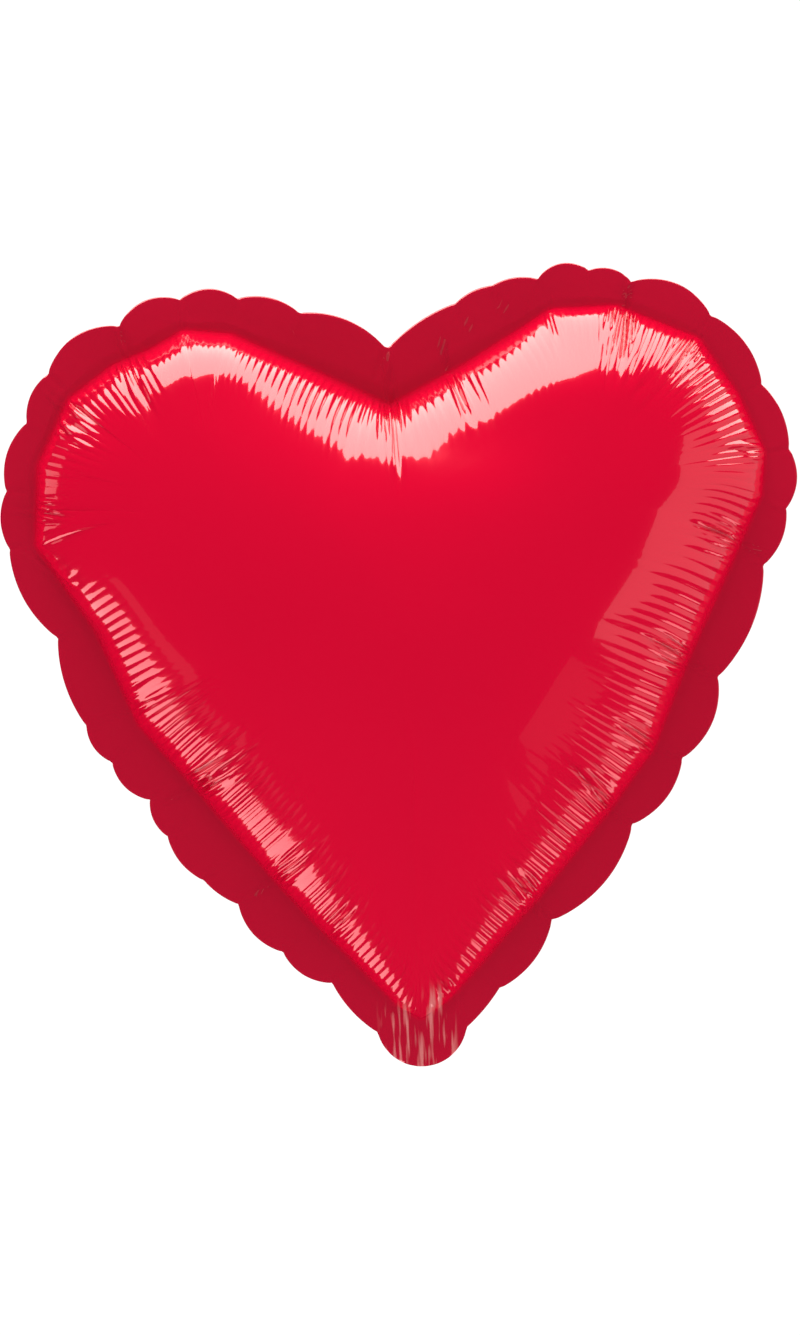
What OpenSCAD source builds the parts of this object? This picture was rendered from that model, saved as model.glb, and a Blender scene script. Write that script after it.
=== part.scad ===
// Heart-shaped foil balloon, inflated, with its tail and self-sealing valve.
// Two panels of metallised film are heat-welded round their edge. A flat flange of
// welded film stands outside the weld line, and a short tail leaves it at the neck.
// The valve is a flat tube of two clear plies that runs from the tail through the neck
// into the balloon. A nozzle enters through the hole in the back of the tail.
// Frame: millimetres, +Z up, +X to the right as seen from the front, front faces -Y.
// Origin: the neck, where the ribbon is tied, on the middle plane between the panels.

/* [Heart] */
// Width of the inflated heart over its flange
heart_w = 400; // [360:2:440]
// Thickness of the inflated heart from front to back
heart_t = 150; // [120:2:180]
// How far each lobe of the flange rises past the notches beside it
lobe_rise = 5; // [1:1:6]

/* [Film and welds] */
// Thickness of one film panel
film_t = 0.5; // [0.4:0.1:0.8]
// Thickness of the fused layer between the panels
weld_t = 0.6; // [0.6:0.1:1]
// Width of the fused band round the tail
tail_weld_w = 3; // [2:1:5]

/* [Tail] */
// Length of the tail below the neck
tail_len = 19; // [17:1:22]
// Width of the neck between its two notches
neck_w = 45; // [40:1:50]
// Clear gap at the neck, across which the film folds
fold_gap = 1.2; // [1:0.1:1.6]
// Diameter of the inflation hole in the back of the tail
hole_d = 9; // [6:1:10]
// Depth of the inflation hole's centre below the neck
hole_drop = 8; // [7:1:9]

/* [Valve] */
// Width of the valve plies
valve_w = 25; // [20:1:26]
// Length of the free valve plies inside the balloon
valve_len = 80; // [50:5:110]
// Thickness of one valve ply
ply_t = 0.25; // [0.15:0.05:0.25]
// Height at which the free plies leave the neck
valve_root_z = 12; // [11:1:14]

/* [Hidden] */

foil_red = [0.86, 0.02, 0.17];
flange_red = [0.72, 0.08, 0.18];
tail_red = [0.66, 0.05, 0.15];
clear_film = [0.85, 0.88, 0.9];
ink_grey = [0.45, 0.45, 0.5];

drawn_w = 400;                  // width that the outlines below are drawn at
size_k = heart_w / drawn_w;
swell_z = 215 * size_k;         // height of the panel's highest point
neck_half = neck_w / 2;
layer_y = weld_t / 2;           // inner face of each film where it is welded
skin_y = layer_y + film_t;      // outer face of each film where it is welded
ply_gap = 0.05;                 // half the space between the two plies
steps = 4;                      // stations from one notch to the next

// Notches of the flange on each side, from the neck up to the cleft, as [x, z].
right_notches = [
    [40, 19], [68, 52], [111, 98], [138, 130], [158, 170], [184, 225], [197, 253],
    [200, 283], [188, 316], [164, 352], [125, 371], [104, 378], [78, 375],
    [55, 373], [36, 365]
];
left_notches = [
    [44, 26], [68, 43], [89, 68], [106, 81], [123, 104], [131, 123], [149, 143],
    [161, 162], [173, 207], [195, 253], [195, 282], [183, 316], [171, 340],
    [134, 362], [103, 374], [74, 373], [43, 364]
];
cleft_z = 343;

// The weld line on each side, from below the neck up to the cleft, as [x, z].
right_weld = [
    [0, 5], [13, 10], [17, 17], [32, 32], [61, 62], [99, 104], [124, 135], [143, 177],
    [174, 238], [185, 260], [188, 282], [176, 312], [158, 341], [117, 360], [84, 360],
    [70, 352], [36, 333], [0, 316]
];
left_weld = [
    [0, 5], [13, 10], [37, 41], [52, 57], [72, 81], [106, 125], [135, 161], [154, 209],
    [182, 254], [179, 294], [162, 327], [139, 343], [120, 350], [102, 359], [78, 356],
    [38, 336], [0, 316]
];

// Turn of a point about the swell point: 0 straight down, 180 straight up.
function turn(p) = atan2(p[0], swell_z - p[1]);
function reach(p) = norm([p[0], p[1] - swell_z]);
function scaled(points) = [for (p = points) p * size_k];

// One side's flange edge: corners at the notches, and an arched lobe between two of them.
function edge_corners(notches) = concat(
    [[0, fold_gap / 2], [neck_half, fold_gap / 2]],
    scaled(notches),
    [[0, cleft_z * size_k]]
);
function lobe_point(a, b, s, rise) =
    let (along = b - a, out = [along[1], -along[0]] / norm(along))
    a + along * s + out * rise * sin(180 * s);
function edge_side(notches) =
    let (c = edge_corners(notches), last = len(c) - 1)
    concat(
        [for (i = [0:last - 1], j = [0:steps - 1])
            lobe_point(c[i], c[i + 1], j / steps, i == 0 ? 0 : lobe_rise)],
        [c[last]]
    );

// The weld point that faces an edge point lies on the same ray from the swell point.
function weld_table(points) = [for (p = scaled(points)) [turn(p), reach(p)]];
function weld_side(edge, table) = [
    for (p = edge)
        let (a = turn(p), r = lookup(a, table))
        [r * sin(a), swell_z - r * cos(a)]
];

// A whole ring: up the right side, then down the left side with its x turned over.
function ring(right, left) = concat(
    right,
    [for (i = [len(left) - 2:-1:1]) [-left[i][0], left[i][1]]]
);
right_edge = edge_side(right_notches);
left_edge = edge_side(left_notches);
edge_ring = ring(right_edge, left_edge);
weld_ring = ring(
    weld_side(right_edge, weld_table(right_weld)),
    weld_side(left_edge, weld_table(left_weld))
);
stations = len(edge_ring);

// How the panel swells from the weld line, s = 0, to the swell point, s = 1. It rises
// steeply at the sides, and more like a cone at the tip and under the cleft.
function swell_power(a) =
    0.5 + 0.4 * pow(max(0, cos(a)), 8) + 0.25 * pow(max(0, -cos(a)), 12);
function swell(s, a) = pow(1 - (1 - s) * (1 - s), swell_power(a));
swell_steps = [0.02, 0.06, 0.13, 0.23, 0.36, 0.52, 0.74];
function swollen_ring(s, base_y) = [
    for (p = weld_ring)
        let (a = turn([abs(p[0]), p[1]]), rise = (heart_t / 2 - skin_y) * swell(s, a))
        [p[0] * (1 - s), base_y + rise, swell_z + (p[1] - swell_z) * (1 - s)]
];
function flat_ring(points, y) = [for (p = points) [p[0], y, p[1]]];

// One face of a panel as rings from the flange edge inwards.
function panel_face(base_y) = concat(
    [flat_ring(edge_ring, base_y), flat_ring(weld_ring, base_y)],
    [for (s = swell_steps) swollen_ring(s, base_y)]
);

// A panel is one closed solid: its outer face, its inner face and the rim between them.
module panel() {
    outer = panel_face(skin_y);
    inner = panel_face(layer_y);
    rings = len(outer);
    last = rings - 1;
    top = heart_t / 2;
    points = concat(
        [for (r = outer) each r],
        [for (r = inner) each r],
        [[0, top, swell_z], [0, top - film_t, swell_z]]
    );
    inner_at = rings * stations;
    outer_top = 2 * inner_at;
    inner_top = outer_top + 1;
    faces = concat(
        [for (r = [0:last - 1], i = [0:stations - 1])
            let (j = (i + 1) % stations, a = r * stations, b = a + stations)
            each [[a + i, b + i, b + j], [a + i, b + j, a + j]]],
        [for (r = [0:last - 1], i = [0:stations - 1])
            let (j = (i + 1) % stations, a = inner_at + r * stations, b = a + stations)
            each [[a + i, b + j, b + i], [a + i, a + j, b + j]]],
        [for (i = [0:stations - 1])
            [last * stations + i, outer_top, last * stations + (i + 1) % stations]],
        [for (i = [0:stations - 1])
            [inner_at + last * stations + i,
             inner_at + last * stations + (i + 1) % stations, inner_top]],
        [for (i = [0:stations - 1])
            let (j = (i + 1) % stations)
            each [[i, j, inner_at + j], [i, inner_at + j, inner_at + i]]]
    );
    polyhedron(points, faces, convexity = 6);
}

// A flat layer between two depths, drawn in the X-Z plane.
module layer(y_low, y_high) {
    translate([0, y_high, 0])
        rotate([90, 0, 0])
            linear_extrude(y_high - y_low)
                children();
}

module strip_2d(width, z_low, z_high) {
    translate([-width / 2, z_low])
        square([width, z_high - z_low]);
}

// The tail is an arc that runs through the neck's two notches and the tail's lowest point.
tail_r = (neck_half * neck_half + tail_len * tail_len) / (2 * tail_len);
module tail_2d(inset = 0) {
    intersection() {
        translate([0, tail_r - tail_len])
            circle(tail_r - inset, $fn = 96);
        strip_2d(neck_w, -tail_len - 1, -fold_gap / 2);
    }
}

module front_panel() {
    color(foil_red)
        mirror([0, 1, 0])
            panel();
}

module back_panel() {
    color(foil_red)
        panel();
}

// The fused layer fills the flange, except where the valve passes through the neck.
module edge_weld() {
    color(flange_red)
        layer(-layer_y, layer_y)
            difference() {
                polygon(edge_ring);
                polygon(weld_ring);
                strip_2d(valve_w, 0, valve_root_z);
            }
}

module tail_front_film() {
    color(tail_red)
        layer(-skin_y, -layer_y)
            tail_2d();
}

module inflation_hole(extra_r = 0) {
    translate([0, 0, -hole_drop])
        rotate([-90, 0, 0])
            cylinder(r = hole_d / 2 + extra_r, h = 3, $fn = 64);
}

module tail_back_film() {
    color(tail_red)
        difference() {
            layer(layer_y, skin_y)
                tail_2d();
            inflation_hole();
        }
}

module tail_weld() {
    color(flange_red)
        layer(-layer_y, layer_y)
            difference() {
                tail_2d();
                intersection() {
                    tail_2d(tail_weld_w);
                    strip_2d(valve_w, -tail_len, 0);
                }
            }
}

// The outer ends of the plies lie between the tail's films, inside its welded band.
module valve_mouth_plies() {
    mouth_inset = tail_weld_w + 0.1;
    color(clear_film) {
        layer(-ply_gap - ply_t, -ply_gap)
            intersection() {
                tail_2d(mouth_inset);
                strip_2d(valve_w - 0.2, -tail_len, 0);
            }
        difference() {
            layer(ply_gap, ply_gap + ply_t)
                intersection() {
                    tail_2d(mouth_inset);
                    strip_2d(valve_w - 0.2, -tail_len, 0);
                }
            inflation_hole(0.5);
        }
    }
}

// The middle of the plies is sealed to the films as they pass through the neck.
neck_top_z = valve_root_z - 0.3;
module valve_neck_plies() {
    color(clear_film) {
        layer(-ply_gap - ply_t, -ply_gap)
            strip_2d(valve_w - 0.2, fold_gap / 2, neck_top_z);
        layer(ply_gap, ply_gap + ply_t)
            strip_2d(valve_w - 0.2, fold_gap / 2, neck_top_z);
    }
}

// The patch of ink keeps the two plies from fusing where the neck is welded over them.
module valve_ink_patch() {
    color(ink_grey)
        layer(-ply_gap, ply_gap)
            strip_2d(valve_w - 6, fold_gap / 2 + 1, neck_top_z - 1);
}

module valve_front_ply() {
    color(clear_film)
        layer(-ply_gap - ply_t, -ply_gap)
            strip_2d(valve_w, valve_root_z, valve_root_z + valve_len);
}

module valve_back_ply() {
    color(clear_film)
        layer(ply_gap, ply_gap + ply_t)
            strip_2d(valve_w, valve_root_z, valve_root_z + valve_len);
}

front_panel();
back_panel();
edge_weld();
tail_front_film();
tail_back_film();
tail_weld();
valve_mouth_plies();
valve_neck_plies();
valve_ink_patch();
valve_front_ply();
valve_back_ply();
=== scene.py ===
import math

import bpy
import numpy as np
from mathutils import Matrix, Vector


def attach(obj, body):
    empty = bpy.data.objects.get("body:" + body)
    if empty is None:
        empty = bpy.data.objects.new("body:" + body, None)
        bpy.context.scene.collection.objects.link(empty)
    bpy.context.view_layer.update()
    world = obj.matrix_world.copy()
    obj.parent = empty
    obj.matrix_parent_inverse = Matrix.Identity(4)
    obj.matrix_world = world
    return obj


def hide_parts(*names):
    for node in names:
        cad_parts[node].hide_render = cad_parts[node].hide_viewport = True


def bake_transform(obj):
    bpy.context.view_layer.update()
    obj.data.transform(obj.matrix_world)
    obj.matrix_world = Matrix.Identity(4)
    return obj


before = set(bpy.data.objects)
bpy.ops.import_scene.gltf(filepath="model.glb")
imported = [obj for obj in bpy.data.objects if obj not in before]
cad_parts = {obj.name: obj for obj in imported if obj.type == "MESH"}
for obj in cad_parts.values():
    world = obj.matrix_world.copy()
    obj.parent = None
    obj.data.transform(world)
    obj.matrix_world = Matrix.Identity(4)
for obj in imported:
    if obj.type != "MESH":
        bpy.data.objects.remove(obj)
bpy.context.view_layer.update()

MM = 0.001


# ---------------------------------------------------------------------------------------
# Front film. One sheet of red metallised film, cut as a heart with a short tail and
# welded to the back film a little inside its edge. The gas swells it, so it gathers
# along the weld in fine folds, with a deep crease wherever the flange is notched.
# ---------------------------------------------------------------------------------------

# The weld line and the flange's notches on each side, from the neck up to the cleft,
# in millimetres, x out from the middle and z up from the neck. A notch's third number is
# how far the lobe before it rises past the straight line between its two notches.
RIGHT_WELD = [
    (0, 5), (10, 11), (17, 17), (32, 32), (61, 62), (99, 104), (124, 135), (143, 177),
    (174, 238), (185, 260), (188, 282), (176, 312), (158, 341), (117, 360), (84, 360),
    (70, 352), (36, 333), (0, 316),
]
LEFT_WELD = [
    (0, 5), (10, 11), (37, 41), (52, 57), (72, 81), (106, 125), (135, 161), (154, 209),
    (182, 254), (179, 294), (162, 327), (139, 343), (120, 350), (102, 359), (78, 356),
    (38, 336), (0, 316),
]
RIGHT_NOTCHES = [
    (40, 19, 1), (68, 52, 5.5), (111, 98, 8.5), (138, 130, 6), (158, 170, 7),
    (184, 225, 6.5), (197, 253, 4), (200, 283, 5), (188, 316, 4), (164, 352, 6),
    (125, 371, 8.5), (104, 378, 4), (78, 375, 6), (55, 373, 2.5), (36, 365, 2), (0, 343, 3),
]
LEFT_NOTCHES = [
    (44, 26, 2.5), (68, 43, 4.5), (89, 68, 5), (106, 81, 1.5), (123, 104, 3.5),
    (131, 123, 3), (149, 143, 4.5), (161, 162, 3.5), (173, 207, 4), (195, 253, 6),
    (195, 282, 4), (183, 316, 5.5), (171, 340, 4), (134, 362, 8.5), (103, 374, 7),
    (74, 373, 5.5), (43, 364, 4.5), (0, 343, 6.5),
]
NECK_HALF = 22.5                # half the width of the neck
TAIL_LENGTH = 18.6              # how far the tail reaches below the neck
SWELL_CENTRE = np.array([0.0, 215.0])
HALF_THICKNESS = 73.0           # from the middle plane to the swollen film
# How the film rises from the weld line, by the turn about the swell centre from straight
# down: a higher power rises less steeply there and makes a wider, flatter slope.
FULLNESS = [(0, 0.60), (12, 0.66), (30, 0.78), (60, 0.80), (100, 0.74), (130, 0.62),
            (149, 0.60), (166, 0.58), (180, 0.54), (192, 0.52), (202, 0.50), (213, 0.46),
            (226, 0.46), (240, 0.52), (262, 0.60), (285, 0.78), (330, 0.80), (346, 0.70),
            (360, 0.60)]
# Where the film stands fuller just inside the weld line, or flatter where the rise is
# below zero: (x, z, width, height, rise).
SHOULDERS = [(-100, 342, 30, 13, 4.5), (96, 318, 22, 13, 4.0), (42, 290, 24, 10, -2.4)]
STATIONS = 2040                 # points round the weld line
FLANGE_STEP = 2                 # stations from one point of the flange to the next
FACE_STEP = 4                   # and from one point of the face to the next
FILM = 0.15                     # drawn thickness of the film
LAYER = 0.10                    # half the drawn thickness of the welded layer

# Deep creases of the front, as (start x, z, end x, z, depth): they start at a notch of
# the flange, cross the weld line and run into the swollen film.
FRONT_CREASES = [
    (0, 336, 3, 272, 3.6), (27, 345, 43, 298, 2.4), (124, 370, 116, 328, 3.4),
    (113, 340, 134, 308, 1.6), (-136, 360, -118, 314, 2.4), (-171, 330, -148, 298, 2.2),
    (-190, 272, -160, 266, 1.8), (-122, 122, -72, 149, 2.8), (-80, 73, -44, 99, 2.6),
    (184, 232, 145, 249, 2.4), (152, 174, 118, 194, 2.4), (107, 100, 76, 136, 2.4),
    (64, 55, 45, 82, 2.2), (-184, 250, -150, 214, 1.4), (160, 345, 140, 318, 1.4),
    (194, 284, 158, 284, 1.2), (-48, 48, -28, 66, 1.6), (-102, 364, -100, 336, 0.9),
    (84, 366, 86, 334, 0.8), (126, 134, 100, 152, 1.4), (-146, 166, -112, 184, 1.2),
    (14, 9, 10, 30, 1.2), (18, 12, 16, 34, 0.9),
]


def whole_loop(right, left):
    """Both sides as one closed outline, up the right side and down the left."""
    return np.array(list(right) + [(-x, z) for x, z in reversed(left[1:-1])], float)


def along(loop):
    """Distance along a closed outline at each of its points, and its whole length."""
    step = np.linalg.norm(np.roll(loop, -1, 0) - loop, axis=1)
    return np.concatenate([[0], np.cumsum(step)])


def evenly(loop, count):
    """The closed outline again, with points the same distance apart."""
    s = along(loop)
    closed = np.vstack([loop, loop[:1]])
    at = np.arange(count) * s[-1] / count
    return np.stack([np.interp(at, s, closed[:, k]) for k in range(closed.shape[1])], 1)


def softened(values, width):
    """A periodic row of values, averaged over about width neighbours each way."""
    n = len(values)
    turn = np.minimum(np.arange(n), n - np.arange(n))
    kernel = np.exp(-0.5 * (turn / max(width, 1e-6)) ** 2)
    kernel /= kernel.sum()
    f = np.fft.fft(values, axis=0)
    k = np.fft.fft(kernel)
    return np.real(np.fft.ifft(f * (k[:, None] if values.ndim == 2 else k), axis=0))


def turn_of(p):
    """Angle of a point about the swell centre, from straight down, up the right side."""
    d = p - SWELL_CENTRE
    return np.degrees(np.arctan2(d[..., 0], -d[..., 1])) % 360


def lobed_edge():
    """The flange's outline: an arched lobe between each two notches, and the tail."""
    outline = []
    for notches, side in ((RIGHT_NOTCHES, 1), (LEFT_NOTCHES, -1)):
        a = np.array([NECK_HALF, 0.0])
        arc = []
        for x, z, rise in notches:
            b = np.array([x, z], float)
            out = np.array([b[1] - a[1], a[0] - b[0]]) / np.linalg.norm(b - a)
            for s in np.arange(24) / 24:
                arc.append(a + (b - a) * s + out * rise * math.sin(math.pi * s) ** 0.75)
            a = b
        outline += [np.array([p[0] * side, p[1]]) for p in arc[::side]]
    radius = (NECK_HALF ** 2 + TAIL_LENGTH ** 2) / (2 * TAIL_LENGTH)
    half = math.acos((radius - TAIL_LENGTH) / radius)
    for s in np.arange(48) / 48:
        a = -half + 2 * half * s
        outline.append(np.array([radius * math.sin(a),
                                 radius - TAIL_LENGTH - radius * math.cos(a)]))
    return np.array(outline)


def matched_edge(weld, edge):
    """For each weld point, the edge point on the same ray from the swell centre."""
    a = turn_of(edge)
    r = np.linalg.norm(edge - SWELL_CENTRE, axis=1)
    order = np.argsort(a)
    a, r = a[order], r[order]
    a = np.concatenate([a - 360, a, a + 360])
    r = np.tile(r, 3)
    at = turn_of(weld)
    reach = np.interp(at, a, r)
    t = np.radians(at)
    return SWELL_CENTRE + np.stack([reach * np.sin(t), -reach * np.cos(t)], 1)


def distance_to(points, loop):
    """Distance of each point from a closed outline, and how far along it that is."""
    a, b = loop, np.roll(loop, -1, 0)
    ab = b - a
    length = (ab ** 2).sum(1)
    best = np.empty(len(points))
    place = np.empty(len(points))
    s = along(loop)
    for lo in range(0, len(points), 3000):
        p = points[lo:lo + 3000]
        near = ((p[:, None] - a[None]) ** 2).sum(2).argmin(1)
        d_best = np.full(len(p), np.inf)
        s_best = np.zeros(len(p))
        for shift in (-1, 0):
            i = (near + shift) % len(loop)
            t = np.clip(((p - a[i]) * ab[i]).sum(1) / length[i], 0, 1)
            d = np.linalg.norm(p - a[i] - ab[i] * t[:, None], axis=1)
            better = d < d_best
            d_best[better] = d[better]
            s_best[better] = (s[i] + t * np.sqrt(length[i]))[better]
        best[lo:lo + 3000] = d_best
        place[lo:lo + 3000] = s_best
    return best, place


def inside(points, loop):
    """Which points lie inside a closed outline."""
    x, z = points[:, 0], points[:, 1]
    found = np.zeros(len(points), bool)
    for (ax, az), (bx, bz) in zip(loop, np.roll(loop, 1, 0)):
        if az != bz:
            found ^= ((az > z) != (bz > z)) & (x < (bx - ax) * (z - az) / (bz - az) + ax)
    return found


class SwollenShape:
    """How far a film held along the weld line swells: it follows a membrane under an
    even pressure, found on a square grid, and is steep at the weld as a full one is."""
    PITCH = 2.0

    def __init__(self, weld):
        self.weld = evenly(weld, 500)
        low = self.weld.min(0) - 2 * self.PITCH
        self.low = low
        self.count = np.ceil((self.weld.max(0) - low) / self.PITCH).astype(int) + 3
        gx, gz = np.meshgrid(*[np.arange(c) for c in self.count], indexing="ij")
        nodes = low + np.stack([gx.ravel(), gz.ravel()], 1) * self.PITCH
        within = inside(nodes, self.weld).reshape(self.count)
        gap = distance_to(nodes, self.weld)[0].reshape(self.count)
        u = np.zeros(self.count)
        red = (gx + gz) % 2 == 0
        for _ in range(900):
            for colour in (red, ~red):
                around = (np.roll(u, 1, 0) + np.roll(u, -1, 0)
                          + np.roll(u, 1, 1) + np.roll(u, -1, 1)) / 4
                fresh = around + self.PITCH ** 2 / 4
                move = within & colour
                u[move] += 1.955 * (fresh[move] - u[move])
        self.u = u
        self.top = u.max()
        self.slope = np.gradient(u)
        soft_gap = self.soft(gap)
        known = within & (gap > 1.4 * self.PITCH)
        q = np.where(known, u / np.maximum(soft_gap, 1e-6), 0)
        weight = known.astype(float)
        for _ in range(6):
            spread = sum(np.roll(np.roll(q * weight, i, 0), j, 1)
                         for i in (-1, 0, 1) for j in (-1, 0, 1))
            total = sum(np.roll(np.roll(weight, i, 0), j, 1)
                        for i in (-1, 0, 1) for j in (-1, 0, 1))
            new = (weight == 0) & (total > 0)
            q[new] = spread[new] / total[new]
            weight[new] = 1
        for _ in range(2):
            q = (2 * q + np.roll(q, 1, 0) + np.roll(q, -1, 0)
                 + np.roll(q, 1, 1) + np.roll(q, -1, 1)) / 6
        self.q = q

    @staticmethod
    def soft(gap):
        return 26 * np.tanh(gap / 26)

    def sample(self, grid, points):
        """The grid's value at points, smoothed with a cubic spline."""
        at = np.clip((points - self.low) / self.PITCH, 1, self.count - 2.001)
        cell = np.floor(at).astype(int)
        f = at - cell
        w = np.stack([(1 - f) ** 3 / 6, (3 * f ** 3 - 6 * f ** 2 + 4) / 6,
                      (-3 * f ** 3 + 3 * f ** 2 + 3 * f + 1) / 6, f ** 3 / 6])
        total = 0
        for i in range(4):
            for j in range(4):
                value = grid[np.minimum(cell[:, 0] + i - 1, self.count[0] - 1),
                             np.minimum(cell[:, 1] + j - 1, self.count[1] - 1)]
                total = total + value * w[i][:, 0] * w[j][:, 1]
        return total

    def height(self, points, gap):
        near = self.soft(gap) * self.sample(self.q, points)
        far = self.sample(self.u, points)
        share = smooth_step(3.5, 8, gap)
        u = np.maximum(near * (1 - share) + far * share, 0) / self.top
        power = np.interp(turn_of(points), *zip(*FULLNESS))
        start = 0.008
        low = start ** power
        high = HALF_THICKNESS * ((u + start) ** power - low) / ((1 + start) ** power - low)
        for x, z, wide, tall, rise in SHOULDERS:
            d = (points - [x, z]) / [wide, tall]
            high += rise * np.exp(-0.5 * (d ** 2).sum(1)) * smooth_step(0, 13, gap)
        return high


# Rings of the film: how far in from the weld line the fine ones lie, in millimetres, and
# how the flange is divided between the weld line and its outer edge.
FINE_RINGS = np.array([0.25, 0.7, 1.4, 2.5, 4, 6, 8.5, 11.5, 15, 19, 23.5, 28.5, 34, 40,
                       47])
FLANGE_RINGS = [0.0, 0.06, 0.13, 0.22, 0.28, 0.36, 0.48, 0.6, 0.72, 0.84, 0.95, 1.0]

corners = whole_loop(RIGHT_WELD, LEFT_WELD)
weld_fine = softened(evenly(corners, 2400), 3.0)
weld_line = evenly(weld_fine, STATIONS)
weld_length = along(weld_line)[-1]
station_s = np.arange(STATIONS) * weld_length / STATIONS
edge_line = matched_edge(weld_line, lobed_edge())
swollen = SwollenShape(weld_fine)
swell_peak = swollen.low + swollen.PITCH * np.array(
    np.unravel_index(swollen.u.argmax(), swollen.u.shape))


def rings_inward():
    """Rings of points from the weld line to the swell centre. Each station goes in
    square to the weld line and then up the slope of the swollen film."""
    tangent = np.roll(weld_line, -1, 0) - np.roll(weld_line, 1, 0)
    square = softened(np.stack([-tangent[:, 1], tangent[:, 0]], 1), 20)
    square /= np.linalg.norm(square, axis=1)[:, None]
    pace = 0.6
    clear = np.full(STATIONS, 4.0)
    for depth in (5, 7, 10, 14, 19, 25, 32):
        gap = distance_to(weld_line + square * depth, weld_fine)[0]
        clear[(gap > 0.94 * depth) & (clear > 0.6 * depth)] = depth
    clear = softened(clear, 8)
    p = weld_line.copy()
    trail = [p]
    for step in range(420):
        slope = np.stack([swollen.sample(g, p) for g in swollen.slope], 1)
        slope /= np.linalg.norm(slope, axis=1)[:, None] + 1e-9
        share = smooth_step(0.3, 0.9, step * pace / clear)[:, None]
        way = square * (1 - share) + slope * share
        way /= np.linalg.norm(way, axis=1)[:, None] + 1e-9
        low = swollen.sample(swollen.u, p) < 0.84 * swollen.top
        p = p + way * pace * low[:, None]
        trail.append(p)
    trail = np.array(trail)
    moved = np.linalg.norm(np.diff(trail, axis=0), axis=2) > 1e-6
    length = softened(moved.sum(0) * pace, 6)
    reach = np.minimum(47, 0.8 * length)

    def at_depth(depth):
        x = np.clip(depth / pace, 0, len(trail) - 1.001)
        i = x.astype(int)
        f = (x - i)[:, None]
        j = np.arange(STATIONS)
        return trail[i, j] * (1 - f) + trail[i + 1, j] * f

    rings = [at_depth(d * reach / 47) for d in FINE_RINGS]
    for share in (0.2, 0.45, 0.72, 1.0):
        rings.append(at_depth(reach + (length - reach) * share))
    for share in (0.25, 0.5, 0.72, 0.9):
        rings.append(trail[-1] * (1 - share) + swell_peak * share)
    return np.array(rings)


def smooth_step(low, high, x):
    t = np.clip((x - low) / (high - low), 0, 1)
    return t * t * (3 - 2 * t)


def slow_noise(rng, s, pitch):
    """Smooth random values between -1 and 1 along the weld line, pitch mm apart."""
    count = max(4, int(round(weld_length / pitch)))
    knots = rng.uniform(-1, 1, count)
    x = s / weld_length * count
    i = np.floor(x).astype(int)
    f = x - i
    f = f * f * (3 - 2 * f)
    return knots[i % count] * (1 - f) + knots[(i + 1) % count] * f


# How strongly the fine folds show round the heart, from the tip up the right side to
# the cleft and down the left: (turn about the swell centre, fold height, reach inwards).
GATHERS = [
    (0, 0.35, 18), (10, 0.50, 26), (30, 0.50, 38), (55, 0.45, 46), (75, 0.40, 46),
    (95, 0.35, 38), (108, 0.40, 36), (118, 0.48, 34), (135, 0.55, 36), (142, 0.28, 30),
    (155, 0.20, 34), (170, 0.40, 32), (180, 0.40, 34), (195, 0.40, 34), (205, 0.32, 28),
    (212, 0.10, 20), (222, 0.20, 24), (230, 0.46, 32), (244, 0.40, 30), (252, 0.10, 22),
    (272, 0.10, 24), (284, 0.45, 38), (300, 0.58, 46), (325, 0.58, 46), (345, 0.50, 34),
    (360, 0.35, 18),
]


def fold_field(rng, wave_lengths):
    """Phase, height and reach of the fine folds at each station."""
    turn, height, reach = (np.array(v) for v in zip(*GATHERS))
    at = turn_of(weld_line)
    at[at > 359.9] = 0
    wave = np.interp(at, *zip(*wave_lengths))
    wave = wave * (1 + 0.16 * slow_noise(rng, station_s, 9))
    phase = np.cumsum(2 * math.pi / wave) * weld_length / STATIONS
    phase *= 2 * math.pi * round(phase[-1] / (2 * math.pi)) / phase[-1]
    fold = np.floor(phase / (2 * math.pi)).astype(int)
    odd = rng.uniform(-1, 1, fold.max() + 2)
    tall = np.interp(at, turn, height) * (1 + 0.30 * odd[fold])
    tall = softened(tall * (1 + 0.3 * slow_noise(rng, station_s, 24)), 2)
    odd2 = rng.uniform(-1, 1, fold.max() + 2)
    far = np.interp(at, turn, reach) * (1 + 0.24 * odd2[fold])
    return phase, tall, softened(far, 1.5)


def crease_field(points, creases, folds=9):
    """Height of the deep creases at points: each is a bundle of sharp folds that fans
    out as it runs inwards, the middle one deepest and longest."""
    rng = np.random.RandomState(5)
    total = np.zeros(len(points))
    bundle = [(0, 1), (-1.9, 0.7), (2.1, 0.75), (-3.9, 0.5), (4.3, 0.55), (-6.0, 0.35),
              (6.4, 0.4), (-8.3, 0.25), (8.9, 0.25)][:folds]
    for x0, z0, x1, z1, deep in creases:
        run = math.hypot(x1 - x0, z1 - z0)
        way = np.array([x1 - x0, z1 - z0]) / run
        square = np.array([way[1], -way[0]])
        near = np.linalg.norm(points - [(x0 + x1) / 2, (z0 + z1) / 2], axis=1) < run + 16
        for off, share in bundle:
            start = np.array([x0, z0]) + square * off * rng.uniform(0.7, 1.1)
            turn = way + square * off * rng.uniform(-0.3, 0.8) / run
            length = run * (1 if off == 0 else rng.uniform(0.55, 1.0))
            rel = points[near] - start
            turn /= np.linalg.norm(turn)
            u = rel @ turn / length
            x = rel @ np.array([turn[1], -turn[0]]) + 0.5 * np.sin(u * 5 + x0 + off)
            width = (1.0 if off == 0 else 0.75) + 0.7 * np.clip(u, 0, 1)
            fade = smooth_step(-0.1, 0.05, u) * (1 - smooth_step(0.5, 1.05, u))
            sharp = -np.maximum(0, 1 - np.abs(x) / width) ** 0.9
            lips = 0.4 * np.exp(-((np.abs(x) - 1.7 * width) / (0.7 * width)) ** 2)
            total[near] += 0.85 * deep * share * fade * (sharp + lips)
    return total


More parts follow.
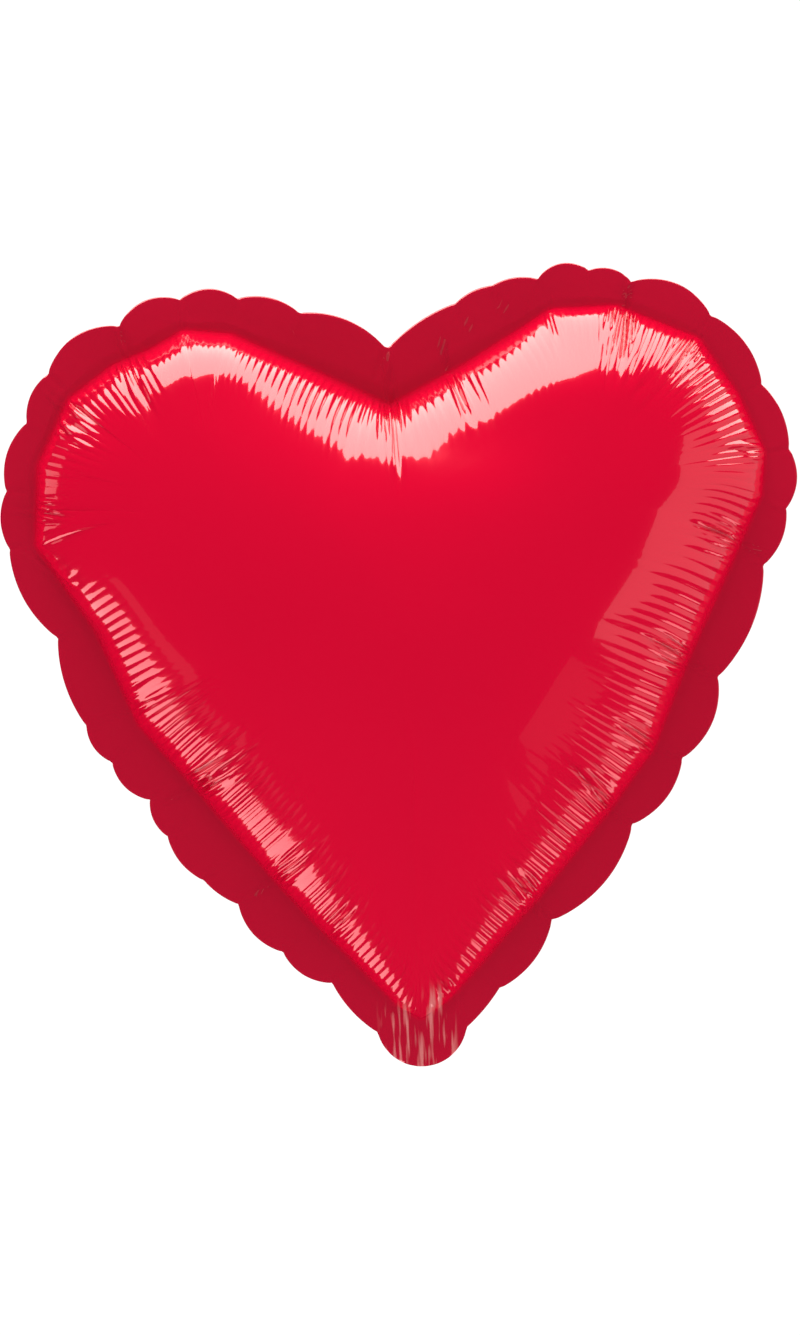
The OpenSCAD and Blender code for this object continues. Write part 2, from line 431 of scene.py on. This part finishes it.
def pillow_field(place, gap, creases):
    """The film bulges a little between one deep crease and the next."""
    feet = np.sort(distance_to(np.array([c[:2] for c in creases], float), weld_line)[1])
    i = np.searchsorted(feet, place)
    low = np.where(i == 0, feet[-1] - weld_length, feet[i - 1])
    high = np.where(i == len(feet), feet[0] + weld_length, feet[i % len(feet)])
    u = np.clip((place - low) / np.maximum(high - low, 1), 0, 1)
    span = np.clip((high - low) / 40, 0.2, 1.4)
    return (np.sin(math.pi * u) ** 0.7 - 0.55) * span * smooth_step(1, 12, gap) * (
        1 - smooth_step(14, 52, gap))


def flange_wave(points, share):
    """How far the flange stands out of its plane: lobes curl, and the tail is pleated."""
    s = distance_to(points, weld_line)[1]
    x, z = points[:, 0], points[:, 1]
    curl = 0.55 * np.sin(s / 17.0 + 1.1 * np.sin(s / 61.0)) + 0.25 * np.sin(s / 7.3)
    tail = smooth_step(14, -2, z) * smooth_step(26, 20, np.abs(x))
    ripple = np.abs(np.sin(x / 1.9 + 0.06 * z + 0.7 * np.sin(x / 5))) ** 0.7 - 0.6
    pleats = (1.1 * ripple * smooth_step(14, -3, x) + 0.4 * np.sin(x / 2.9 + 1.3)
              ) * smooth_step(21, 14, np.abs(x))
    return curl * share ** 1.5 * (1 - tail) + tail * pleats


notch_points = np.array([(x, z) for x, z, rise in RIGHT_NOTCHES]
                        + [(-x, z) for x, z, rise in LEFT_NOTCHES[:-1]], float)


def notch_field(points, share):
    """The short crease that runs from each notch across the flange."""
    rng = np.random.RandomState(11)
    total = np.zeros(len(points))
    for x, z in notch_points:
        start = np.array([x, z])
        foot = weld_line[np.linalg.norm(weld_line - start, axis=1).argmin()]
        way = (foot - start) / np.linalg.norm(foot - start)
        rel = points - start
        u = rel @ way / np.linalg.norm(foot - start)
        off = rel @ np.array([way[1], -way[0]])
        sign = 1 if rng.uniform() < 0.7 else -1
        near = np.exp(-(off / 1.3) ** 2) - 0.4 * np.exp(-((np.abs(off) - 3.2) / 1.6) ** 2)
        total += sign * rng.uniform(0.15, 0.45) * near * smooth_step(1.05, 0.2, u)
    return total


def film_lift(points, share):
    """How far the middle of the flange stands out of its plane. share is 0 at the weld
    line and 1 at the cut edge."""
    return (flange_wave(points, share) * smooth_step(0.05, 0.5, share)
            + notch_field(points, share) * smooth_step(0.0, 0.25, share)
            + 0.3 * crease_field(points, FRONT_CREASES, 1) * smooth_step(0.0, 0.15, share))


INWARD = rings_inward()


def film_points(side, creases, waves, seed):
    """Rings of points from the flange's edge to the swell centre, in millimetres. side
    is -1 for the front film and 1 for the back one."""
    rng = np.random.RandomState(seed)
    rings = []
    rest = LAYER + FILM
    flange_share = np.repeat(FLANGE_RINGS[::-1], STATIONS)
    flat = np.concatenate([weld_line + (edge_line - weld_line) * t
                           for t in FLANGE_RINGS[::-1]])
    lift = film_lift(flat, flange_share)
    pouch = (0.6 * smooth_step(20, 15, np.abs(flat[:, 0])) * smooth_step(13, 8, flat[:, 1])
             * smooth_step(1.0, 0.85, flange_share))
    top = smooth_step(120, 145, turn_of(flat)) * smooth_step(262, 240, turn_of(flat))
    ridge = (0.12 + 0.25 * top) * np.exp(-((flange_share - 0.25) / 0.035) ** 2)
    y = lift + side * (rest + ridge + pouch)
    flange = np.stack([flat[:, 0], y, flat[:, 1]], 1).reshape(-1, STATIONS, 3)
    rings += list(flange)
    phase, tall, far = fold_field(rng, waves)
    groove = np.abs(np.sin(phase / 2)) ** 0.8 - 0.62
    levels = len(INWARD)
    flat = INWARD.reshape(-1, 2)
    gap, place = distance_to(flat, weld_line)
    high = swollen.height(flat, gap) + 1.7 * pillow_field(place, gap, creases)
    base = np.stack([flat[:, 0], side * (rest + high), flat[:, 1]], 1)
    base = base.reshape(levels, STATIONS, 3)
    # The rings are rounded off at the heart's tip, so that no ridge stands above it.
    tip_turn = np.abs((turn_of(weld_line) + 180) % 360 - 180)
    at_tip = smooth_step(16, 5, tip_turn)[:, None]
    for k in range(levels):
        width = min(16.0, 0.5 * gap[k * STATIONS:(k + 1) * STATIONS].mean())
        base[k] += (softened(base[k], width) - base[k]) * at_tip
    first = flange[-1][None]
    sheet = np.concatenate([first, base])
    across = np.roll(sheet, -1, 1) - np.roll(sheet, 1, 1)
    inwards = np.gradient(sheet, axis=0)
    normal = np.cross(across, inwards)
    normal /= np.linalg.norm(normal, axis=2)[:, :, None] + 1e-12
    normal *= np.sign((normal[..., 1] * side).sum())
    normal = normal[1:]
    gap = gap.reshape(levels, STATIONS)
    into = smooth_step(0.2, 3.2, gap) * (1 - smooth_step(0.45, 1.0, gap / far[None]))
    spread = np.linalg.norm(np.roll(INWARD, -1, 1) - INWARD, axis=2)
    into *= smooth_step(0.25, 0.8, spread * STATIONS / weld_length)
    fine = into * tall[None] * groove[None] * 1.4
    deep = crease_field(flat, creases).reshape(gap.shape) * smooth_step(0.0, 4.0, gap)
    wander = 0.12 * slow_noise(rng, station_s, 6)[None] * into
    base = base + normal * (fine + deep + wander)[..., None]
    rings += list(base)
    steps = ([FLANGE_STEP] * (len(FLANGE_RINGS) - 1) + [1] * (len(FINE_RINGS) + 1)
             + [FACE_STEP] * (len(INWARD) - len(FINE_RINGS)))
    return rings, steps


def bridge(many, few, inwards):
    """Faces between a ring of many points and one of few."""
    step = len(many) // len(few)
    faces = []
    for i in range(len(few)):
        f = [many[(i * step + m) % len(many)] for m in range(step + 1)]
        b1, b2 = few[i], few[(i + 1) % len(few)]
        half = step // 2
        faces += [[f[m], f[m + 1], b1] for m in range(half)]
        faces.append([f[half], b2, b1])
        faces += [[f[m], f[m + 1], b2] for m in range(half, step)]
    return faces if inwards else [f[::-1] for f in faces]


def film_mesh(name, side, rings, steps):
    """A mesh from the rings, each with every step-th station."""
    verts, faces, rows = [], [], []
    for ring, step in zip(rings, steps):
        kept = ring[::step]
        rows.append(np.arange(len(kept)) + len(verts))
        verts.extend(kept.tolist())
    for a, b in zip(rows, rows[1:]):
        if len(a) == len(b):
            a2, b2 = np.roll(a, -1), np.roll(b, -1)
            faces.extend(np.stack([a, a2, b2, b], 1).tolist())
        elif len(a) > len(b):
            faces += bridge(a, b, True)
        else:
            faces += bridge(b, a, False)
    centre = len(verts)
    middle = swollen.height(swell_peak[None], np.array([99.0]))[0] + LAYER + FILM
    verts.append([swell_peak[0], side * middle, swell_peak[1]])
    last = rows[-1]
    faces += [[last[i], last[(i + 1) % len(last)], centre] for i in range(len(last))]
    mesh = bpy.data.meshes.new(name)
    if side > 0:
        faces = [f[::-1] for f in faces]
    mesh.from_pydata((np.array(verts) * MM).tolist(), [], faces)
    mesh.update()
    at_weld = rows[len(FLANGE_RINGS) - 1]
    ends = np.empty(len(mesh.edges) * 2, int)
    mesh.edges.foreach_get("vertices", ends)
    ends = ends.reshape(-1, 2)
    sharp = ((ends >= at_weld[0]) & (ends <= at_weld[-1])).all(1)
    mesh.edges.foreach_set("use_edge_sharp", sharp)
    return mesh


def point_value(mesh, name, values):
    attribute = mesh.attributes.new(name, "FLOAT", "POINT")
    attribute.data.foreach_set("value", np.asarray(values, np.float32))


def film_piece(name, side, creases, waves, seed):
    rings, steps = film_points(side, creases, waves, seed)
    mesh = film_mesh(name, side, rings, steps)
    piece = bpy.data.objects.new(name, mesh)
    bpy.context.scene.collection.objects.link(piece)
    co = np.array([v.co for v in mesh.vertices])[:, [0, 2]] / MM
    gap = distance_to(co, weld_line)[0]
    outside = ~inside(co, weld_line)
    point_value(mesh, "welded", np.where(outside, smooth_step(0.3, 1.6, gap), 0))
    # Mask of the painted highlights: pale upright streaks down the pleated tail and a
    # bright spot near the tip, standing in for light that the pleats catch.
    tail = smooth_step(17, 9, co[:, 1]) * smooth_step(21, 16, np.abs(co[:, 0] + 2))
    painted_tip_spot = np.exp(-(((co[:, 0] - 8) / 7) ** 2) - ((co[:, 1] - 16) / 6) ** 2)
    point_value(mesh, "pleat_highlight_mask", np.clip(tail + 0.9 * painted_tip_spot, 0, 1))
    mesh.shade_smooth()
    bpy.ops.object.select_all(action="DESELECT")
    bpy.context.view_layer.objects.active = piece
    piece.select_set(True)
    wall = piece.modifiers.new("film", "SOLIDIFY")
    wall.thickness = FILM * MM
    wall.offset = -1
    bpy.ops.object.modifier_apply(modifier=wall.name)
    return piece


front_film = film_piece("front_film", -1, FRONT_CREASES, [
    (0, 4.2), (60, 5.0), (100, 5.6), (140, 5.0), (172, 3.8), (205, 3.8), (230, 4.6),
    (260, 5.2), (290, 4.2), (360, 4.2)], 3)


def shader(name):
    """A new material and its node tree, with the Principled shader already in it."""
    material = bpy.data.materials.new(name)
    material.use_nodes = True
    return material, material.node_tree, material.node_tree.nodes["Principled BSDF"]


def add_node(tree, kind, inputs=None, **settings):
    node = tree.nodes.new(kind)
    for key, value in settings.items():
        setattr(node, key, value)
    for key, value in (inputs or {}).items():
        node.inputs[key].default_value = value
    return node


def red_foil():
    """Glossy red lacquer over metal: the lacquer gives the white highlights, and the
    metal under it the deep red ones. The welded flange is darker and flatter."""
    material, tree, bsdf = shader("red_foil")
    link = tree.links.new
    bsdf.inputs["Metallic"].default_value = 0.25
    bsdf.inputs["IOR"].default_value = 1.5
    bsdf.inputs["Coat Weight"].default_value = 1.0
    bsdf.inputs["Coat Roughness"].default_value = 0.03
    bsdf.inputs["Coat IOR"].default_value = 1.8
    place = add_node(tree, "ShaderNodeTexCoord")
    welded = add_node(tree, "ShaderNodeAttribute", attribute_name="welded")
    cloud = add_node(tree, "ShaderNodeTexNoise", {"Scale": 9.0, "Detail": 3.0})
    link(place.outputs["Object"], cloud.inputs["Vector"])
    face = add_node(tree, "ShaderNodeMixRGB")
    face.inputs["Color1"].default_value = (0.79, 0.0003, 0.034, 1)
    face.inputs["Color2"].default_value = (0.75, 0.0003, 0.031, 1)
    link(cloud.outputs["Fac"], face.inputs["Fac"])
    colour = add_node(tree, "ShaderNodeMixRGB")
    colour.inputs["Color2"].default_value = (0.59, 0.004, 0.032, 1)
    link(welded.outputs["Fac"], colour.inputs["Fac"])
    link(face.outputs["Color"], colour.inputs["Color1"])
    # Painted highlights: pale upright streaks painted into the base colour where the tail
    # is gathered, and a painted bright spot near the tip, in place of light that the pleats
    # catch.
    pleat_highlight_mask = add_node(tree, "ShaderNodeAttribute", attribute_name="pleat_highlight_mask")
    tall = add_node(tree, "ShaderNodeMapping", {"Scale": (330.0, 0.0, 34.0)})
    link(place.outputs["Object"], tall.inputs["Vector"])
    streaks = add_node(tree, "ShaderNodeTexNoise", {"Scale": 1.0, "Detail": 2.0})
    link(tall.outputs["Vector"], streaks.inputs["Vector"])
    bold = add_node(tree, "ShaderNodeMapRange", {"From Min": 0.52, "From Max": 0.66})
    link(streaks.outputs["Fac"], bold.inputs["Value"])
    painted_highlight_share = add_node(tree, "ShaderNodeMath", operation="MULTIPLY")
    link(bold.outputs["Result"], painted_highlight_share.inputs[0])
    link(pleat_highlight_mask.outputs["Fac"], painted_highlight_share.inputs[1])
    # Pale salmon colour of the painted highlights, mixed into the base colour.
    pleated = add_node(tree, "ShaderNodeMixRGB")
    pleated.inputs["Color2"].default_value = (0.84, 0.22, 0.22, 1)
    link(painted_highlight_share.outputs["Value"], pleated.inputs["Fac"])
    link(colour.outputs["Color"], pleated.inputs["Color1"])
    link(pleated.outputs["Color"], bsdf.inputs["Base Color"])
    grain = add_node(tree, "ShaderNodeTexNoise", {"Scale": 900.0, "Detail": 2.0})
    link(place.outputs["Object"], grain.inputs["Vector"])
    rough = add_node(tree, "ShaderNodeMapRange", {"To Min": 0.10, "To Max": 0.17})
    link(grain.outputs["Fac"], rough.inputs["Value"])
    link(rough.outputs["Result"], bsdf.inputs["Roughness"])
    ripple = add_node(tree, "ShaderNodeTexNoise", {"Scale": 60.0, "Detail": 3.0})
    link(place.outputs["Object"], ripple.inputs["Vector"])
    bump = add_node(tree, "ShaderNodeBump", {"Strength": 0.05, "Distance": 0.001})
    link(ripple.outputs["Fac"], bump.inputs["Height"])
    link(bump.outputs["Normal"], bsdf.inputs["Normal"])
    return material


foil = red_foil()
front_film.data.materials.append(foil)
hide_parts("front_panel", "tail_front_film")
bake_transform(front_film)


# ---------------------------------------------------------------------------------------
# Back film. The same sheet of film turned over, with its own fine folds. The inflation
# hole is punched through its side of the tail before the balloon is welded.
# ---------------------------------------------------------------------------------------

BACK_CREASES = [(x0, z0, x1 + 4 * math.sin(x0), z1 + 5 * math.cos(z0), deep * 0.9)
                for x0, z0, x1, z1, deep in FRONT_CREASES]
HOLE_RADIUS = 4.5
HOLE_Z = -8.0

back_film = film_piece("back_film", 1, BACK_CREASES, [
    (0, 4.4), (90, 5.4), (180, 5.0), (270, 5.6), (360, 4.4)], 8)


def punch_hole(piece, radius, height):
    bpy.ops.mesh.primitive_cylinder_add(
        vertices=48, radius=radius * MM, depth=0.006, location=(0, 0.0035, height * MM),
        rotation=(math.pi / 2, 0, 0))
    punch = bpy.context.active_object
    cut = piece.modifiers.new("hole", "BOOLEAN")
    cut.operation = "DIFFERENCE"
    cut.solver = "EXACT"
    cut.object = punch
    bpy.ops.object.select_all(action="DESELECT")
    bpy.context.view_layer.objects.active = piece
    piece.select_set(True)
    bpy.ops.object.modifier_apply(modifier=cut.name)
    bpy.data.objects.remove(punch, do_unlink=True)


punch_hole(back_film, HOLE_RADIUS, HOLE_Z)
back_film.data.materials.append(foil)
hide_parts("back_panel", "tail_back_film")
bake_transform(back_film)


# ---------------------------------------------------------------------------------------
# Weld. The band where heat has fused the two films' inner sides, from the weld line out
# to the cut edge. It runs round the tail as well, and only the neck is left open.
# ---------------------------------------------------------------------------------------

WELD_STEP = 2                   # stations from one row of the weld to the next


def weld_rows():
    """Rows across the flange, each the points of one closed cross-section."""
    shares = [-0.02, 0.0, 0.12, 0.25, 0.4, 0.55, 0.7, 0.85, 0.975]
    rows = []
    at = np.arange(0, STATIONS, WELD_STEP)
    neck = smooth_step(7, 14, np.linalg.norm(weld_line[at] - [0, 5], axis=1))
    for share in shares:
        start = 0.80 * (1 - neck)
        t = (start + (1 - start) * share)[:, None]
        flat = weld_line[at] + (edge_line[at] - weld_line[at]) * t
        t = np.clip(t[:, 0], 0, 1)
        rows.append(np.stack([flat[:, 0], film_lift(flat, t), flat[:, 1]], 1))
    return np.array(rows)


rows = weld_rows()
half = np.full(len(rows), LAYER * 0.96)
half[0] = half[-1] = LAYER * 0.5
loop = np.concatenate([rows + np.array([0, 1, 0]) * half[:, None, None],
                       (rows - np.array([0, 1, 0]) * half[:, None, None])[::-1]])
count, around = loop.shape[1], loop.shape[0]
faces = []
for i in range(count):
    j = (i + 1) % count
    for k in range(around):
        m = (k + 1) % around
        faces.append((k * count + i, k * count + j, m * count + j, m * count + i))
mesh = bpy.data.meshes.new("seam_weld")
mesh.from_pydata((loop.reshape(-1, 3) * MM).tolist(), [], faces)
mesh.update()
seam_weld = bpy.data.objects.new("seam_weld", mesh)
bpy.context.scene.collection.objects.link(seam_weld)
mesh.shade_smooth()


def fused_film():
    """Two films melted into one: the red of the foil, duller, with a fine weave that
    the heated bar leaves."""
    material, tree, bsdf = shader("fused_film")
    link = tree.links.new
    bsdf.inputs["Metallic"].default_value = 0.2
    place = add_node(tree, "ShaderNodeTexCoord")
    weave = add_node(tree, "ShaderNodeTexVoronoi", {"Scale": 1400.0})
    link(place.outputs["Object"], weave.inputs["Vector"])
    colour = add_node(tree, "ShaderNodeMixRGB")
    colour.inputs["Color1"].default_value = (0.42, 0.006, 0.022, 1)
    colour.inputs["Color2"].default_value = (0.50, 0.010, 0.030, 1)
    link(weave.outputs["Distance"], colour.inputs["Fac"])
    link(colour.outputs["Color"], bsdf.inputs["Base Color"])
    rough = add_node(tree, "ShaderNodeMapRange", {"To Min": 0.35, "To Max": 0.5})
    link(weave.outputs["Distance"], rough.inputs["Value"])
    link(rough.outputs["Result"], bsdf.inputs["Roughness"])
    return material


seam_weld.data.materials.append(fused_film())
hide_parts("edge_weld", "tail_weld")
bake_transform(seam_weld)


# ---------------------------------------------------------------------------------------
# Valve. Two plies of clear film laid face to face and welded into the neck between the
# foil films. Gas opens them on the way in and presses them shut afterwards. Each is drawn
# in three parts, as the tail, the neck and the free length inside move apart.
# ---------------------------------------------------------------------------------------

PLY = 0.04                      # drawn thickness of a ply
PLY_GAP = 0.012                 # half the gap between the two plies
WAIST = 0.6                     # share of its width that the valve loses at its waist
WAIST_HEIGHT = 13.0             # height of the waist, at the tip of the weld
WAIST_REACH = 7.0               # how far above and below it the narrowing fades


def clear_film():
    """Clear film, a little milky, with soft streaks from the roll it came off."""
    material, tree, bsdf = shader("clear_film")
    link = tree.links.new
    bsdf.inputs["IOR"].default_value = 1.5
    bsdf.inputs["Transmission Weight"].default_value = 0.55
    place = add_node(tree, "ShaderNodeTexCoord")
    spread = add_node(tree, "ShaderNodeMapping")
    spread.inputs["Scale"].default_value = (420, 420, 25)
    link(place.outputs["Object"], spread.inputs["Vector"])
    streak = add_node(tree, "ShaderNodeTexNoise", {"Scale": 1.0, "Detail": 3.0})
    link(spread.outputs["Vector"], streak.inputs["Vector"])
    colour = add_node(tree, "ShaderNodeMixRGB")
    colour.inputs["Color1"].default_value = (0.82, 0.83, 0.82, 1)
    colour.inputs["Color2"].default_value = (0.90, 0.91, 0.90, 1)
    link(streak.outputs["Fac"], colour.inputs["Fac"])
    link(colour.outputs["Color"], bsdf.inputs["Base Color"])
    rough = add_node(tree, "ShaderNodeMapRange", {"To Min": 0.18, "To Max": 0.34})
    link(streak.outputs["Fac"], rough.inputs["Value"])
    link(rough.outputs["Result"], bsdf.inputs["Roughness"])
    return material


def strip(name, half_width, bottom, top, middle, thick):
    """A closed flat strip that follows the middle of the flange below the neck. middle
    is how far its own middle lies behind that, and thick is its thickness. It is drawn
    in where it passes the tip of the weld."""
    across = np.linspace(-half_width, half_width, 41)
    up = np.linspace(bottom, top, max(3, int(round((top - bottom) / 1.0)) + 1))
    gx, gz = np.meshgrid(across, up)
    gx = gx * (1 - WAIST * np.exp(-((gz - WAIST_HEIGHT) / WAIST_REACH) ** 2))
    flat = np.stack([gx.ravel(), gz.ravel()], 1)
    low = np.minimum(flat[:, 1], 5.0)
    share = np.clip((5.0 - low) / 23.6, 0, 1)
    lift = film_lift(flat, share)
    n = len(flat)
    shape = gx.shape
    verts = np.concatenate([
        np.stack([flat[:, 0], lift + middle - thick / 2, flat[:, 1]], 1),
        np.stack([flat[:, 0], lift + middle + thick / 2, flat[:, 1]], 1)])
    index = np.arange(n).reshape(shape)
    faces = []
    for i in range(shape[0] - 1):
        for j in range(shape[1] - 1):
            a, b = index[i, j], index[i, j + 1]
            c, d = index[i + 1, j + 1], index[i + 1, j]
            faces += [(a, b, c, d), (a + n, d + n, c + n, b + n)]
    rim = (list(index[0, :-1]) + list(index[:-1, -1]) + list(index[-1, :0:-1])
           + list(index[:0:-1, 0]))
    for a, b in zip(rim, rim[1:] + rim[:1]):
        faces.append((b, a, a + n, b + n))
    mesh = bpy.data.meshes.new(name)
    mesh.from_pydata((verts * MM).tolist(), [], faces)
    mesh.update()
    mesh.shade_smooth()
    piece = bpy.data.objects.new(name, mesh)
    bpy.context.scene.collection.objects.link(piece)
    return piece


def joined(name, pieces):
    bpy.ops.object.select_all(action="DESELECT")
    for piece in pieces:
        piece.select_set(True)
    bpy.context.view_layer.objects.active = pieces[0]
    bpy.ops.object.join()
    pieces[0].name = pieces[0].data.name = name
    return pieces[0]


ply_at = PLY_GAP + PLY / 2
clear = clear_film()
mouth_back = strip("mouth_back", 12.5, -13.4, -0.6, ply_at, PLY)
punch_hole(mouth_back, HOLE_RADIUS + 0.5, HOLE_Z)
valve_mouth = joined("valve_mouth", [
    strip("mouth_front", 12.5, -13.4, -0.6, -ply_at, PLY), mouth_back])
valve_neck = joined("valve_neck", [
    strip("neck_front", 12.4, -0.6, WAIST_HEIGHT, -ply_at, PLY),
    strip("neck_back", 12.4, -0.6, WAIST_HEIGHT, ply_at, PLY)])
for piece, node, length, area in (
        (valve_mouth, "valve_mouth_plies", 0.0256, 0.00056),
        (valve_neck, "valve_neck_plies", 0.0272, 0.00049)):
    piece.data.materials.append(clear)
    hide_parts(node)
    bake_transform(piece)
for node, body, side in (("valve_front_ply", "valve_front", -1),
                         ("valve_back_ply", "valve_back", 1)):
    piece = strip(node + "_film", 12.5, WAIST_HEIGHT, 92.0, side * ply_at, PLY)
    piece.data.materials.append(clear)
    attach(piece, body)
    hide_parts(node)


# ---------------------------------------------------------------------------------------
# Release ink. A patch of heat-proof ink printed between the two plies at the neck, so
# that the weld across the neck doesn't close the valve.
# ---------------------------------------------------------------------------------------

release_ink = strip("release_ink", 9.5, 1.6, 10.7, 0.0, PLY_GAP * 1.6)


def matt_ink():
    material, tree, bsdf = shader("matt_ink")
    link = tree.links.new
    place = add_node(tree, "ShaderNodeTexCoord")
    dots = add_node(tree, "ShaderNodeTexVoronoi", {"Scale": 2600.0})
    link(place.outputs["Object"], dots.inputs["Vector"])
    colour = add_node(tree, "ShaderNodeMixRGB")
    colour.inputs["Color1"].default_value = (0.30, 0.36, 0.42, 1)
    colour.inputs["Color2"].default_value = (0.40, 0.46, 0.52, 1)
    link(dots.outputs["Distance"], colour.inputs["Fac"])
    link(colour.outputs["Color"], bsdf.inputs["Base Color"])
    bsdf.inputs["Roughness"].default_value = 0.75
    return material


release_ink.data.materials.append(matt_ink())
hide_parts("valve_ink_patch")
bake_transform(release_ink)


# ---------------------------------------------------------------------------------------
# Studio: a white floor well below the balloon, which hangs free, white light from all
# round, and soft boxes above, low on the left and dimmer on the right.
# ---------------------------------------------------------------------------------------

MIDDLE = Vector((-0.0016, 0, 0.183))
LEAN = math.radians(3.0)        # the balloon leans to the left as it hangs
CAMERA_DISTANCE = 3.2
FRAME_HEIGHT = 0.6735           # what the frame takes in, from bottom to top


def floor():
    bpy.ops.object.select_all(action="DESELECT")
    bpy.ops.mesh.primitive_circle_add(vertices=96, radius=4, fill_type="NGON",
                                      location=(0, 0, -1.3))
    piece = bpy.context.active_object
    piece.name = "floor"
    material, tree, bsdf = shader("white_paper")
    bsdf.inputs["Base Color"].default_value = (0.9, 0.9, 0.9, 1)
    bsdf.inputs["Roughness"].default_value = 0.9
    bsdf.inputs["Emission Color"].default_value = (1, 1, 1, 1)
    bsdf.inputs["Emission Strength"].default_value = 0.3
    piece.data.materials.append(material)
    piece.visible_glossy = False


def soft_box(name, place, facing, side, size, radiance, colour=(1, 0.97, 0.93)):
    """A soft box at place, from the balloon's middle. side runs along its first size,
    and radiance is how bright its face is."""
    light = bpy.data.lights.new(name, "AREA")
    light.shape = "RECTANGLE"
    light.size, light.size_y = size
    light.energy = radiance * math.pi * size[0] * size[1]
    light.color = colour
    back = -Vector(facing).normalized()
    along_side = Vector(side)
    along_side = (along_side - back * along_side.dot(back)).normalized()
    turn = Matrix((along_side, back.cross(along_side), back)).transposed()
    lamp = bpy.data.objects.new(name, light)
    lamp.matrix_world = Matrix.Translation(MIDDLE + Vector(place)) @ turn.to_4x4()
    bpy.context.scene.collection.objects.link(lamp)


floor()
soft_box("above", (-0.2, -0.05, 1.25), (0, 0, -1), (0.93, 0.36, 0), (1.7, 1.1), 3.6,
         (1, 0.98, 0.87))
soft_box("above_right", (0.99, 0.14, 0.81), (-0.8, 0, -0.58), (-0.58, 0, 0.8),
         (0.46, 0.80), 3.2, (1, 0.98, 0.87))
soft_box("low_left", (-1.06, 1.7, -0.89), (0.8, 0, 0.58), (0.58, 0, -0.8),
         (0.86, 3.5), 1.6)
soft_box("low_left_front", (-1.10, -0.28, -0.54), (0.70, 0.4, 0.5), (0.58, 0, -0.8),
         (0.5, 0.14), 0.10)
soft_box("right", (1.3, 1.2, 0.0), (-1, 0, 0), (0, 0, 1), (1.0, 4.0), 0.38)
soft_box("low_right", (0.95, 1.7, -0.95), (-0.7, 0, 0.7), (0.7, 0, 0.7),
         (0.45, 3.4), 1.1)
soft_box("low_right_front", (1.0, -0.60, -0.68), (-0.6, 0.5, 0.6), (0.7, 0, 0.7),
         (0.35, 0.45), 0.07)
soft_box("left", (-1.3, 0.35, 0.2), (1, 0, -0.1), (0, 0, 1), (0.35, 0.6), 0.6)

world = bpy.data.worlds.new("studio")
world.use_nodes = True
sky = world.node_tree
rays = sky.nodes.new("ShaderNodeLightPath")
level = sky.nodes.new("ShaderNodeMapRange")
level.inputs["To Min"].default_value = 1.08
level.inputs["To Max"].default_value = 0.01
sky.links.new(rays.outputs["Is Glossy Ray"], level.inputs["Value"])
sky.links.new(level.outputs["Result"], sky.nodes["Background"].inputs["Strength"])
sky.nodes["Background"].inputs["Color"].default_value = (1, 1, 1, 1)
bpy.context.scene.world = world
bpy.context.scene.view_settings.view_transform = "Standard"

camera = bpy.data.cameras.new("camera")
camera.sensor_fit = "VERTICAL"
camera.sensor_height = 36
camera.lens = 36 * CAMERA_DISTANCE / FRAME_HEIGHT
eye = bpy.data.objects.new("camera", camera)
eye.location = MIDDLE + Vector((0, -CAMERA_DISTANCE, 0))
eye.rotation_euler = (math.pi / 2, LEAN, 0)
bpy.context.scene.collection.objects.link(eye)
bpy.context.scene.camera = eye
